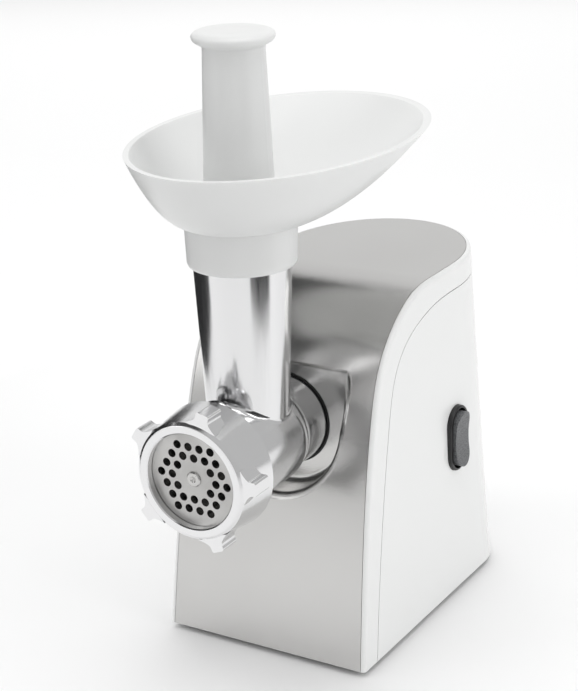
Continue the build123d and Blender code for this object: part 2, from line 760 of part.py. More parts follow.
with BuildPart() as terminal_block:
    add(block(24, 12, 11, (22, rear_y - 27, plate_top_z + 5.5)))
    for x in (14, 22, 30):
        add(block(5, 14, 4, (x, rear_y - 27, plate_top_z + 4.5)), mode=Mode.SUBTRACT)
        add(block(3.4, 3.4, 4, (x, rear_y - 27, plate_top_z + 10)), mode=Mode.SUBTRACT)
save(terminal_block.part, "terminal_block")

with BuildPart() as filter_capacitor:
    add(block(18, 8.5, 12, (-24, rear_y - 27, plate_top_z + 6)))
    fillet(filter_capacitor.edges().filter_by(Axis.Z), 1.0)
save(filter_capacitor.part, "filter_capacitor")


# ---------------------------------------------------------------- switch
opening_width, opening_height = 17.0, 35.4
rocker_width, rocker_height = 15.6, 32.0
rocker_back_x, rocker_tip_x = 51.2, 64.0
rocker_hollow_radius, rocker_waist_x = 65.0, 62.0
pivot_x = 54.0
pivot_radius = 1.5
pivot_half_length = 10.0

with BuildPart() as switch_bezel:
    add(stadium(bezel_back_x, bezel_face_x, bezel_width, bezel_height))
    fillet(switch_bezel.faces().sort_by(Axis.X)[-1].edges(), 1.0)
    add(stadium(bezel_back_x + 2.0, bezel_face_x + 2, opening_width, opening_height), mode=Mode.SUBTRACT)
    add(bars(switch_y - 10.3, switch_y + 10.3, pivot_radius + running, [(pivot_x, switch_z - axis_z)]),
        mode=Mode.SUBTRACT)
save(switch_bezel.part, "switch_bezel")

with BuildPart() as switch_rocker:
    add(stadium(rocker_back_x, rocker_tip_x, rocker_width, rocker_height))
    hollow_at = [(rocker_waist_x + rocker_hollow_radius, switch_z - axis_z)]
    add(bars(switch_y - 20, switch_y + 20, rocker_hollow_radius, hollow_at), mode=Mode.SUBTRACT)
    add(bars(switch_y - pivot_half_length, switch_y + pivot_half_length, pivot_radius,
             [(pivot_x, switch_z - axis_z)]))
save(switch_rocker.part, "switch_rocker")

with BuildPart() as switch_body:
    add(block(bezel_back_x - 33.0, 18, 30, ((bezel_back_x + 33.0) / 2, switch_y, switch_z)))
    for z in (-9, 0, 9):
        add(block(8, 6.3, 0.8, (30.0, switch_y, switch_z + z)))
save(switch_body.part, "switch_body")


# ---------------------------------------------------------------- socket and catch
socket_outer = 28.5
lock_lobe_radius = 6.2
socket_bore = 24.5
socket_lip = 21.8              # inside radius of the three retaining ledges
socket_front_y = socket_floor_y + steel
ledge_front, ledge_back = panel_y + 38.4, panel_y + 42.6
lug_front, lug_back = panel_y + 43.0, panel_y + 47.0
socket_end = panel_y + 47.4
lug_half_angle = 16.0
lug_angles = (90.0, 210.0, 330.0)
unlock_turn = 45.0             # the head is turned this far to free its lugs
lock_front, lock_back = panel_y + 26.0, panel_y + 40.0
lock_end = panel_y + 49.0


def sectors(y_front, y_back, inner, outer, angles, half_angle):
    """Ring segments along Y centred on the given angles."""
    with BuildPart(mode=Mode.PRIVATE) as group:
        with BuildSketch(facing(y_back)):
            Circle(outer)
            Circle(inner, mode=Mode.SUBTRACT)
            with BuildSketch(facing(y_back), mode=Mode.INTERSECT):
                for angle in angles:
                    a, b = radians(angle - half_angle), radians(angle + half_angle)
                    far = 3 * outer
                    Polygon((0, 0), (far * cos(a), far * sin(a)), (far * cos(b), far * sin(b)), align=None)
        extrude(amount=y_back - y_front)
    return group.part


with BuildPart() as socket_ring:
    add(disc(socket_front_y, case_front, socket_outer))
    add(disc(socket_front_y, case_front, lock_lobe_radius, lock_at))
    add(disc(socket_front_y - 1.3, socket_front_y + 1, socket_hole - 0.2))
    add(disc(socket_front_y - 2, socket_end, socket_bore), mode=Mode.SUBTRACT)
    add(disc(ledge_front, ledge_back, socket_bore + 1))
    add(disc(ledge_front - 1, ledge_back + 1, socket_lip), mode=Mode.SUBTRACT)
    add(disc(socket_end - 1, case_front + 1, output_shaft_radius + gap), mode=Mode.SUBTRACT)
    entry_angles = [angle - unlock_turn for angle in lug_angles]
    add(sectors(ledge_front - 1, ledge_back + 1, socket_lip - 2, socket_bore, entry_angles, lug_half_angle + 3),
        mode=Mode.SUBTRACT)
    add(disc(socket_front_y - 1, lock_end, lock_radius + gap, lock_at), mode=Mode.SUBTRACT)
save(socket_ring.part, "socket_ring")

with BuildPart() as lock_button:
    add(disc(lock_front, lock_back, lock_radius, lock_at))
    fillet(lock_button.faces().sort_by(Axis.Y)[0].edges(), 1.0)
    add(disc(lock_back, lock_back + 3, 2.0, lock_at))
save(lock_button.part, "lock_button")

with BuildPart() as lock_spring:
    spring_start = (lock_at[0], lock_back + 0.5, axis_z + lock_at[1])
    add(coil_spring(spring_start, (0, 1, 0), lock_end - lock_back - 0.9, 3.0, 0.5, 1.7))
save(lock_spring.part, "lock_spring")


# ---------------------------------------------------------------- head: barrel and chute in one casting
seat_back = panel_y - 53.3
barrel_radius = 26.6
thread_radius = 29.4
thread_front, thread_back = panel_y - 57.6, panel_y - 41.0
seat_radius = plate_radius + gap
knife_room_radius = 24.4
knife_room_back = panel_y - 47.0
bore_radius = 22.0
end_wall_front, end_wall_back = panel_y + 12.5, panel_y + 18.0
neck_start = panel_y + 14.0
neck_end = panel_y + 38.0
reduced_radius = 21.5
rear_hollow_radius = 18.5
journal_radius = 9.0
chute_wall = 2.4
key_radius = 1.4
pin_hole_radius = 4.0


def chute_radius(z):
    return chute_foot_radius + chute_slope * (z - chute_foot_z)


def chute_bar(z_low, z_high, inset):
    """The chute's cone between two heights, made smaller in radius by inset."""
    with BuildPart(mode=Mode.PRIVATE) as cone:
        with BuildSketch(chute_plane):
            with BuildLine():
                Polyline((0, z_low), (chute_radius(z_low) - inset, z_low),
                         (chute_radius(z_high) - inset, z_high), (0, z_high), close=True)
            make_face()
        revolve(axis=chute_axis)
    return cone.part


with BuildPart() as head_casting:
    with BuildSketch(turning):
        with BuildLine():
            shoulder = Spline((shoulder_y, barrel_radius), (panel_y + 9.0, 25.4), (neck_start, neck_radius),
                              tangents=((1, 0), (1, 0)))
            Polyline(shoulder @ 1, (neck_end, neck_radius), (neck_end, reduced_radius),
                     (lug_back, reduced_radius), (lug_back, 0), (thread_back, 0), (thread_back, barrel_radius),
                     shoulder @ 0)
        make_face()
    revolve(axis=head_axis)
    add(chute_bar(axis_z, chute_top_z, 0))
    foot_edges = [e for e in head_casting.edges()
                  if e.bounding_box().min.Z > axis_z + 10 and e.bounding_box().max.Z < axis_z + 40]
    fillet(foot_edges, 3.5)
    add(turned([(thread_front, 0), (thread_front, thread_radius - 0.8), (thread_front + 0.8, thread_radius),
                (thread_back, thread_radius), (thread_back + 1.6, barrel_radius), (thread_back + 1.6, 0)]))
    add(disc(neck_end, lug_back, reduced_radius))
    add(sectors(lug_front, lug_back, reduced_radius - 1, neck_radius, lug_angles, lug_half_angle))
    add(disc(thread_front - 1, seat_back, seat_radius), mode=Mode.SUBTRACT)
    add(disc(seat_back - 1, knife_room_back, knife_room_radius), mode=Mode.SUBTRACT)
    add(disc(knife_room_back - 1, end_wall_front, bore_radius), mode=Mode.SUBTRACT)
    add(disc(end_wall_front - 1, end_wall_back + 1, journal_radius + running), mode=Mode.SUBTRACT)
    add(disc(end_wall_back, lug_back + 1, rear_hollow_radius), mode=Mode.SUBTRACT)
    add(chute_bar(axis_z, chute_top_z + 1, chute_wall), mode=Mode.SUBTRACT)
    add(disc(thread_front + 1.5, seat_back, key_radius, (0, seat_radius)))
    fillet(head_casting.faces().sort_by(Axis.Z)[-1].edges(), 0.7)
save(head_casting.part, "head_casting")


# ---------------------------------------------------------------- ring, plate, knife and screw
nut_bore = 29.8
nut_front_bore = 25.0
lug_count = 5
first_lug_angle = 4.5
nut_lug_radius = 38.0
lug_length = 13.0

with BuildPart() as ring_nut:
    add(turned([(ring_front_y, nut_front_bore + 0.6), (ring_front_y, 29.2), (ring_front_y + 1.5, 30.9),
                (ring_back_y - 0.8, 33.6), (ring_back_y, 33.0), (ring_back_y, nut_bore),
                (panel_y - 58.9, nut_bore), (panel_y - 58.9, nut_front_bore),
                (ring_front_y + 0.6, nut_front_bore)]))
    fillet(ring_nut.edges().filter_by(GeomType.CIRCLE).group_by(Axis.Y)[0].sort_by(Edge.length)[-1], 0.7)
    with BuildSketch(facing(ring_front_y + lug_length)):
        with BuildSketch(Plane.XY, mode=Mode.PRIVATE) as lug:
            with BuildLine():
                upper = Spline((30.0, 9.0), (33.2, 4.6), (35.6, 3.6), tangents=((0.6, -1.0), (1.0, 0)))
                side = Line(upper @ 1, (36.8, 3.6))
                tip = ThreePointArc(side @ 1, (37.7, 3.2), (nut_lug_radius, 2.4))
                end = Line(tip @ 1, (nut_lug_radius, -2.4))
                low_tip = ThreePointArc(end @ 1, (37.7, -3.2), (36.8, -3.6))
                low_side = Line(low_tip @ 1, (35.6, -3.6))
                lower = Spline(low_side @ 1, (33.2, -4.6), (30.0, -9.0), tangents=((-1.0, 0), (-0.6, -1.0)))
                Line(lower @ 1, upper @ 0)
            make_face()
        with PolarLocations(0, lug_count, start_angle=first_lug_angle):
            add(lug.sketch)
    extrude(amount=lug_length - 1.2)
save(ring_nut.part, "ring_nut")

plate_back_y = plate_front_y + plate_thickness
hole_radius = 2.2
hole_pitch = 6.4
hole_turn = -2.1
hole_rings = (2, 3)
notch_radius = 1.8
hole_places = []
for i in range(-3, 4):
    for j in range(-3, 4):
        ring = max(abs(i), abs(j), abs(i + j))
        if ring in hole_rings:
            x, z = hole_pitch * (i + j / 2), hole_pitch * sqrt(3) / 2 * j
            turn = radians(hole_turn)
            hole_places.append((x * cos(turn) - z * sin(turn), x * sin(turn) + z * cos(turn)))

with BuildPart() as cutting_plate:
    add(disc(plate_front_y, plate_back_y, plate_radius))
    add(bars(plate_front_y - 1, plate_back_y + 1, hole_radius, hole_places), mode=Mode.SUBTRACT)
    add(bars(plate_front_y - 1, plate_back_y + 1, pin_hole_radius + running, [(0, 0)]), mode=Mode.SUBTRACT)
    add(bars(plate_front_y - 1, plate_back_y + 1, notch_radius, [(0, seat_radius)]), mode=Mode.SUBTRACT)
save(cutting_plate.part, "cutting_plate")

knife_front, knife_back = plate_back_y + gap, plate_back_y + 5.3
square_across = 8.0
hub_radius = 8.5
knife_radius = 23.9

with BuildPart() as cutting_knife:
    with BuildSketch(facing(knife_back)):
        Circle(hub_radius)
        with PolarLocations(0, 4, start_angle=20):
            Polygon((5, -4.2), (knife_radius + 1, -5.4), (knife_radius + 1, 2.2), (5, 3.4), align=None)
        Circle(knife_radius, mode=Mode.INTERSECT)
        Rectangle(square_across + 0.2, square_across + 0.2, mode=Mode.SUBTRACT)
    extrude(amount=knife_back - knife_front)
save(cutting_knife.part, "cutting_knife")

screw_core_radius = 9.0
flight_radius = 21.6
flight_pitch = 15.0
flight_front, flight_back = panel_y - 46.0, panel_y + 9.0
core_front_y, core_back_y = panel_y - 48.0, panel_y + 12.2
coupling_end = panel_y + 66.0

with BuildPart() as feed_screw:
    with BuildLine():
        winding = Helix(pitch=flight_pitch, height=flight_back - flight_front - 3.4, radius=14.8,
                        center=(0, flight_front + 1.7, axis_z), direction=(0, 1, 0))
    with BuildSketch(Plane(origin=winding @ 0, x_dir=(0, 1, 0), z_dir=winding % 0)):
        Rectangle(3.0, 2 * (flight_radius - 14.8) + 0.1)
    sweep(path=winding, is_frenet=True)
    add(disc(core_front_y, core_back_y, screw_core_radius))
    add(disc(panel_y - 59.6, core_front_y, pin_hole_radius))
    with BuildSketch(facing(core_front_y)):
        Rectangle(square_across, square_across)
    extrude(amount=core_front_y - knife_front)
    add(disc(core_back_y, end_wall_back + 0.3, journal_radius))
    with BuildSketch(facing(coupling_end)):
        RegularPolygon(hex_across / 2, 6, major_radius=False)
    extrude(amount=coupling_end - end_wall_back)
    chamfer(feed_screw.faces().sort_by(Axis.Y)[0].edges(), 0.6)
    add(turned([(panel_y - 60, 0), (panel_y - 60, 2.0), (panel_y - 59.5, 1.6), (panel_y - 58.4, 0)]),
        mode=Mode.SUBTRACT)
save(feed_screw.part, "feed_screw")

with BuildPart() as screw_washer:
    add(turned([(panel_y + 10.6, screw_core_radius + running), (panel_y + 10.6, 15.0),
                (panel_y + 12.2, 15.0), (panel_y + 12.2, screw_core_radius + running)]))
save(screw_washer.part, "screw_washer")


# ---------------------------------------------------------------- hopper pan and pusher
pan_sections = (0.0, 0.25, 0.5, 0.75, 0.9, 1.0)
pan_foot_radius = 28.0
pan_rise = pan_rim_z - pan_floor_z
pan_curve = 1.9
throat_radius = 23.6
collar_foot_z = 223.0
collar_bore = chute_radius(chute_top_z) + 0.35


def pan_form(inset, lift):
    """The pan's bowl as a solid, its sides drawn in by inset and the whole raised by lift."""
    with BuildPart(mode=Mode.PRIVATE) as bowl:
        for u in pan_sections:
            with BuildSketch(Plane.XY.offset(pan_floor_z + lift + pan_rise * u ** pan_curve)):
                with Locations((0, chute_y + (pan_centre_y - chute_y) * u)):
                    Ellipse(pan_foot_radius + (pan_rim_x - pan_foot_radius) * u - inset,
                            pan_foot_radius + (pan_rim_y - pan_foot_radius) * u - inset)
        loft()
    return bowl.part


def about_chute(points):
    """A solid turned about the chute's axis from (radius, height) points."""
    with BuildPart(mode=Mode.PRIVATE) as lathe:
        with BuildSketch(chute_plane):
            with BuildLine():
                Polyline(*points, close=True)
            make_face()
        revolve(axis=chute_axis)
    return lathe.part


with BuildPart() as hopper_pan:
    add(pan_form(0, 0))
    add(about_chute([(0, collar_foot_z), (collar_bore + 1.0, collar_foot_z), (27.6, collar_foot_z + 1.5),
                     (collar_radius, pan_floor_z), (collar_radius, pan_floor_z + 0.5), (0, pan_floor_z + 0.5)]))
    add(pan_form(pan_wall, pan_wall), mode=Mode.SUBTRACT)
    add(about_chute([(0, collar_foot_z - 1), (collar_bore, collar_foot_z - 1), (collar_bore, chute_top_z + gap),
                     (0, chute_top_z + gap)]), mode=Mode.SUBTRACT)
    add(about_chute([(0, 230), (throat_radius, 230), (throat_radius, 262), (0, 262)]), mode=Mode.SUBTRACT)
save(hopper_pan.part, "hopper_pan")

pusher_wall = 2.2
pusher_low_radius = 20.4
with BuildPart() as pusher:
    with BuildSketch(chute_plane):
        with BuildLine():
            crown = Spline((0, pusher_top_z), (12.0, pusher_top_z - 0.2), (20.2, pusher_top_z - 2.0),
                           tangents=((1, 0), (0.6, -1.0)))
            under = Spline(crown @ 1, (19.8, pusher_top_z - 4.4), (16.6, pusher_top_z - 6.6),
                           (15.3, pusher_top_z - 10.0), tangents=((0.5, -1.0), (0.02, -1.0)))
            side = Polyline(under @ 1, (17.4, 267.5), (pusher_low_radius, pusher_end_z),
                            (pusher_low_radius - pusher_wall, pusher_end_z), (17.4 - pusher_wall, 267.5),
                            (15.3 - pusher_wall, pusher_top_z - 10.0), (15.3 - pusher_wall, pusher_top_z - 4.0),
                            (0, pusher_top_z - 4.0))
            Line(side @ 1, crown @ 0)
        make_face()
    revolve(axis=chute_axis)
save(pusher.part, "pusher")
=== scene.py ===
# %% [markdown]
# # An electric meat grinder
# A kitchen meat grinder stands on a worktop. A motor in a white and steel body turns a screw inside a
# cast head, and meat goes in through a pan on top. The exact shapes come from the engineering model,
# one mesh for each piece. This script gives the pieces their finishes and builds a studio round them.

# %% Load the pieces
import bpy
from math import cos, radians, sin
from mathutils import Matrix, Vector


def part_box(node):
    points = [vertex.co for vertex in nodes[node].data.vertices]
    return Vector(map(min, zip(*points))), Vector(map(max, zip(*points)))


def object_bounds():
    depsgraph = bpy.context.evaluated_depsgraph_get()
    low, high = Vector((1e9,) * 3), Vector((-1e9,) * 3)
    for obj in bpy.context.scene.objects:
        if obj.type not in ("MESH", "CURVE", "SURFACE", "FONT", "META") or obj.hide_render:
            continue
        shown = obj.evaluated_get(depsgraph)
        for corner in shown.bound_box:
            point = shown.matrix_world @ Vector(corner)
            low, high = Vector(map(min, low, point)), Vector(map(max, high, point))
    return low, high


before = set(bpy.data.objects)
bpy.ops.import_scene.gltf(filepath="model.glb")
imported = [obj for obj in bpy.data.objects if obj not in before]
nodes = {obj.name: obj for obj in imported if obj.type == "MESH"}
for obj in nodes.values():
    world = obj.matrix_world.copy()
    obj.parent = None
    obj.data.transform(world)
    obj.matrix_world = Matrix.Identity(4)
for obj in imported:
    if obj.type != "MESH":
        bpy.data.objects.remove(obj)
cad_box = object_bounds()
low, high = cad_box
print("pieces:", len(nodes), " size in mm:", [round(v * 1000, 1) for v in high - low])

# %% [markdown]
# ## Camera
# A machine like this reads best from a little above and to one side, through a long lens about a metre
# away, so that its upright edges stay almost parallel. A tracking constraint could point the camera, but
# it can't hold a small roll. So the aim is given as a turn round the machine, a height over the horizon
# and a roll, and a rotation matrix is built from the three.

# %% Camera
scene = bpy.context.scene
camera_place = (0.489737, -0.827527, 0.511301)
view_turn = radians(31.478)
view_height = radians(20.284)
view_roll = radians(-1.880)

back = Vector((
    sin(view_turn) * cos(view_height),
    -cos(view_turn) * cos(view_height),
    sin(view_height)))
level = Vector((cos(view_turn), sin(view_turn), 0))
upward = back.cross(level)
right = level * cos(view_roll) + upward * sin(view_roll)
top = upward * cos(view_roll) - level * sin(view_roll)
aim = Matrix((right, top, back)).transposed().to_4x4()

lens = bpy.data.cameras.new("camera")
lens.lens = 99.56
lens.sensor_width = 36.0
camera = bpy.data.objects.new("camera", lens)
scene.collection.objects.link(camera)
camera.matrix_world = Matrix.Translation(camera_place) @ aim
scene.camera = camera
print("camera is", round((camera.location - (low + high) / 2).length, 2), "m from the machine's middle")

# %% [markdown]
# ## Floor
# The machine stands on a seamless sweep of pale paper. A sweep could be bent up behind it, but this
# camera looks down, so one flat sheet, large enough, fills the view. The default tone curve greys a
# white sweep, so the standard one is used.

# %% Floor
scene.view_settings.view_transform = "Standard"
floor_side = 14


def sheet(name, width, depth, at, turn=(0, 0, 0)):
    """A flat rectangle about a point, turned by three angles in degrees."""
    w, d = width / 2, depth / 2
    mesh = bpy.data.meshes.new(name)
    mesh.from_pydata([(-w, -d, 0), (w, -d, 0), (w, d, 0), (-w, d, 0)], [], [(0, 1, 2, 3)])
    made = bpy.data.objects.new(name, mesh)
    made.location = at
    made.rotation_euler = [radians(angle) for angle in turn]
    scene.collection.objects.link(made)
    return made


floor = sheet("floor", floor_side, floor_side, (0, 0, 0))
print("floor:", floor.dimensions[:])

# %% [markdown]
# ## Soft boxes
# Bright metal shows what stands round it, so the room matters as much as the metal. A studio lights it
# with soft boxes: white cloth over a lamp. A sun lamp would give hard shadows and small glints, so large
# area lights are used. The one for the backdrop is kept out of reflections, where it would draw a bright
# line along the bend of the cover.

# %% Soft boxes
machine_middle = (0, 0, 0.15)


def soft_box(name, power, width, height, at, target=machine_middle):
    """A rectangular area light that faces a target."""
    lamp = bpy.data.lights.new(name, "AREA")
    lamp.shape = "RECTANGLE"
    lamp.size = width
    lamp.size_y = height
    lamp.energy = power
    made = bpy.data.objects.new(name, lamp)
    made.location = at
    made.rotation_mode = "QUATERNION"
    made.rotation_quaternion = (Vector(target) - Vector(at)).to_track_quat("-Z", "Y")
    scene.collection.objects.link(made)
    return made


soft_box("overhead", 13, 1.6, 1.6, (0.0, -0.1, 1.7))
backdrop = soft_box("backdrop", 30, 3.5, 2.0, (-1.3, 2.4, 2.2), target=(-1.5, 2.6, 0))
backdrop.visible_glossy = False
soft_box("front_left", 6, 1.0, 1.4, (-1.3, -1.2, 1.0))
soft_box("right_side", 8, 0.9, 1.3, (1.6, -0.1, 0.8))
soft_box("behind", 2.6, 2.2, 1.3, (-0.8, 1.5, 0.8))

# %% [markdown]
# ## White room
# The walls of the studio are white and send back a good part of the light. Real walls could be built,
# but they would get in the way of views from other sides, so the world itself is white and dim.

# %% White room
world = bpy.data.worlds.new("studio")
world.use_nodes = True
walls = world.node_tree.nodes["Background"]
walls.inputs["Color"].default_value = (1.0, 1.0, 1.0, 1)
walls.inputs["Strength"].default_value = 0.56
scene.world = world
print("brightness of the walls:", round(walls.inputs["Strength"].default_value, 2))

# %% [markdown]
# ## A finish
# Most of a surface's look comes from three values on Blender's main shader: its colour, its roughness,
# and whether it is metal. Every finish here starts with those, so one helper makes the material and sets
# them on the shader's own sockets. Any other socket is given by its name. The first finish is the matt
# black of a card.

# %% Helper: a material with its plain values


def shader_of(material):
    """The material's main shader."""
    return material.node_tree.nodes["Principled BSDF"]


def finish(name, colour, roughness, metallic=0.0, **sockets):
    """A new material, with its plain values on the shader's own sockets."""
    made = bpy.data.materials.new(name)
    made.use_nodes = True
    shader = shader_of(made)
    shader.inputs["Base Color"].default_value = (*colour, 1)
    shader.inputs["Roughness"].default_value = roughness
    shader.inputs["Metallic"].default_value = metallic
    for socket, value in sockets.items():
        shader.inputs[socket.replace("_", " ")].default_value = value
    return made


flag_paint = finish("flag_paint", (0.012, 0.012, 0.013), 0.9)
print("first finish:", flag_paint.name)

# %% [markdown]
# ## Dark flags
# In an all-white room polished metal turns flat and milky. A studio stands black cards, called flags,
# just out of view, and their reflections draw the dark lines that make metal read as metal. Stripes
# painted on the metal would be wrong from every other side. Each flag shows only in reflections, so none
# of them shades the floor. Two stand upright beside the machine, and one leans over it.

# %% Flags
chute_y = -0.07


def around(turn, distance, height):
    """A point at a turn round the chute: 0 is in front, and 90 is on the switch's side."""
    angle = radians(turn)
    return sin(angle) * distance, chute_y - cos(angle) * distance, height


def flag(name, width, height, at, turn):
    """A black card about a point, turned by three angles in degrees, that only reflections show."""
    card = sheet(name, width, height, at, turn)
    card.data.materials.append(flag_paint)
    card.visible_camera = False
    card.visible_diffuse = False
    card.visible_shadow = False
    card.visible_transmission = False


flag("flag_left", 0.66, 0.42, around(-92, 0.40, 0.21), (90, 0, -92))
flag("flag_right", 0.40, 0.42, around(72, 0.46, 0.21), (90, 0, 72))
flag("flag_overhead", 1.00, 1.50, around(-75, 0.47, 1.02), (0, -30, 0))

# %% [markdown]
# ## A pattern
# No real surface is the same all over. Image textures could show that, but noise made by a formula needs
# no file and has no seams. It uses object coordinates in metres, so one scale means the same thing on
# every piece. Stretched along an axis, the same noise turns into scratches.

# %% Helper: a noise pattern


def grain(material, scale, stretch=(1, 1, 1), detail=4.0):
    """A noise value over the piece; stretch multiplies its fineness along X, Y and Z."""
    tree = material.node_tree
    place = tree.nodes.new("ShaderNodeTexCoord")
    spread = tree.nodes.new("ShaderNodeMapping")
    noise = tree.nodes.new("ShaderNodeTexNoise")
    spread.inputs["Scale"].default_value = stretch
    noise.inputs["Scale"].default_value = scale
    noise.inputs["Detail"].default_value = detail
    tree.links.new(place.outputs["Object"], spread.inputs["Vector"])
    tree.links.new(spread.outputs["Vector"], noise.inputs["Vector"])
    return noise.outputs["Fac"]


print("helper for patterns:", grain.__name__)

# %% [markdown]
# ## What a pattern changes
# A pattern can vary a surface's gloss, its colour and its height. Three helpers link it to the shader,
# and one noise can drive two of them, as a scratch changes both gloss and height. Noise mostly stays
# between 0.1 and 0.9, so the gloss is spread over that range. A narrower one would cut its ends off flat
# and leave blobs with hard edges.

# %% Helpers: gloss, colour and height
noise_low, noise_high = 0.1, 0.9


def vary_gloss(material, pattern, smooth, rough):
    """Roughness runs between two values with the pattern."""
    tree = material.node_tree
    band = tree.nodes.new("ShaderNodeMapRange")
    band.inputs["From Min"].default_value = noise_low
    band.inputs["From Max"].default_value = noise_high
    band.inputs["To Min"].default_value = smooth
    band.inputs["To Max"].default_value = rough
    tree.links.new(pattern, band.inputs["Value"])
    tree.links.new(band.outputs["Result"], shader_of(material).inputs["Roughness"])


def vary_colour(material, pattern, dark, light, start=0.35, end=0.65):
    """Colour runs between two tones as the pattern goes from start to end."""
    tree = material.node_tree
    ramp = tree.nodes.new("ShaderNodeValToRGB")
    first, last = ramp.color_ramp.elements
    first.position = start
    last.position = end
    first.color = (*dark, 1)
    last.color = (*light, 1)
    tree.links.new(pattern, ramp.inputs["Fac"])
    tree.links.new(ramp.outputs["Color"], shader_of(material).inputs["Base Color"])


def raise_surface(material, pattern, height, strength):
    """The pattern lifts the surface by up to height metres, on top of any earlier pattern."""
    tree = material.node_tree
    normal = shader_of(material).inputs["Normal"]
    bump = tree.nodes.new("ShaderNodeBump")
    bump.inputs["Distance"].default_value = height
    bump.inputs["Strength"].default_value = strength
    if normal.links:
        tree.links.new(normal.links[0].from_socket, bump.inputs["Normal"])
    tree.links.new(pattern, bump.inputs["Height"])
    tree.links.new(bump.outputs["Normal"], normal)


print("helpers for a pattern:", [f.__name__ for f in (vary_gloss, vary_colour, raise_surface)])

# %% [markdown]
# ## Dressing the pieces
# Each piece comes with a plain material of its own. Pieces made of the same stuff share one finish here,
# so that a change to it shows on all of them. The helper keeps a list of the pieces it has dressed, to
# be checked at the end.

# %% Helper: put a finish on pieces
dressed = set()


def wear(material, *names):
    """Gives these pieces one material."""
    for name in names:
        nodes[name].data.materials.clear()
        nodes[name].data.materials.append(material)
    dressed.update(names)
    print(material.name, "on", ", ".join(names))


print("pieces to dress:", len(nodes))

# %% [markdown]
# ## Brushed steel cover
# The front and top are one sheet of stainless steel, brushed across its width. Brushing leaves fine
# scratches that all run one way. An anisotropic shader can fake them, but it shows no single scratch up
# close, so the pattern is noise drawn out long along X and very fine along the other two axes. It varies
# the gloss and lifts the surface by a few microns.

# %% Brushed steel
brushed = finish("brushed_steel", (0.60, 0.595, 0.585), 0.30, metallic=1.0)
scratches = grain(brushed, 1.0, (30, 4200, 4200), detail=3)
clouding = grain(brushed, 9.0, detail=2)
vary_gloss(brushed, scratches, 0.21, 0.27)
vary_colour(brushed, clouding, (0.60, 0.595, 0.585), (0.63, 0.625, 0.615))
raise_surface(brushed, scratches, 0.000004, 0.5)
wear(brushed, "front_cover")

# %% [markdown]
# ## White plastic
# The sides, the back and the rim are glossy white ABS. Moulded plastic is never quite flat: a faint
# ripple, called orange peel, bends its reflections, and its gloss is a little uneven where it is
# handled. A thin clear coat over the shader gives the moulded skin's sharper shine.

# %% White plastic
gloss_white = finish("gloss_white", (0.80, 0.805, 0.80), 0.22, Coat_Weight=0.25, Coat_Roughness=0.08)
vary_gloss(gloss_white, grain(gloss_white, 6, detail=2), 0.24, 0.29)
raise_surface(gloss_white, grain(gloss_white, 900, detail=2), 0.000006, 0.15)
wear(gloss_white, "rear_housing", "rim_frame")

# %% [markdown]
# ## Pan and pusher
# These two touch food and are softer, slightly see-through white plastic. A brighter colour alone would
# look like paint. A little light goes in and comes out again nearby, which is subsurface scattering, and
# it keeps the pan's inside bright.

# %% Food-safe plastic
food_white = finish("food_white", (0.71, 0.715, 0.71), 0.30, Subsurface_Weight=0.25,
                    Subsurface_Radius=(0.006, 0.006, 0.006), Subsurface_Scale=1.0)
vary_gloss(food_white, grain(food_white, 7, detail=2), 0.29, 0.35)
raise_surface(food_white, grain(food_white, 800, detail=2), 0.000006, 0.15)
wear(food_white, "hopper_pan", "pusher")

# %% [markdown]
# ## Cast ring
# The ring nut is cast aluminium, tumbled and then polished. The casting skin leaves a soft unevenness
# under the polish, and tumbling leaves fine marks in every direction. Two noises of different scales
# lift the surface, one for each.

# %% Polished casting
polished = finish("polished_casting", (0.80, 0.80, 0.805), 0.16, metallic=1.0)
vary_gloss(polished, grain(polished, 60, detail=6), 0.10, 0.22)
raise_surface(polished, grain(polished, 90, detail=3), 0.00018, 0.35)
raise_surface(polished, grain(polished, 900, detail=3), 0.00001, 0.5)
wear(polished, "ring_nut")

# %% [markdown]
# ## Cast head
# The head is the same metal, but its chute was polished lengthwise, so its scratches stand upright. The
# ring's finish would blur its long dark reflections, so it gets a drawn-out pattern of its own.

# %% Head, polished lengthwise
chute_tone = (0.78, 0.78, 0.785)
chute_metal = finish("chute_metal", chute_tone, 0.14, metallic=1.0)
upright = grain(chute_metal, 1.0, (900, 900, 7))
vary_gloss(chute_metal, upright, 0.10, 0.20)
raise_surface(chute_metal, upright, 0.000008, 0.6)
raise_surface(chute_metal, grain(chute_metal, 45, detail=2), 0.00012, 0.12)
wear(chute_metal, "head_casting")

# %% [markdown]
# ## Painted shade inside the barrel
# No polishing wheel reaches inside the barrel, so the casting stays a little darker there, and its tone is
# taken almost to black as painted shade, where little light reaches. A second material could go on the
# inner faces, but they would have to be picked by hand. The distance from the barrel's axis tells inside
# from outside, and a few nodes turn it into the painted shade.

# %% Painted shade inside the barrel
# A near-black tone: painted shade for the barrel's inside, far darker than unpolished casting.
bore_painted_shade_tone = (0.10, 0.10, 0.105)
bore_radius = 0.0238
bore_blend = 0.0006
socket_low, socket_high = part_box("socket_ring")
barrel_axis = ((socket_low.x + socket_high.x) / 2, 0, (socket_low.z + socket_high.z) / 2)


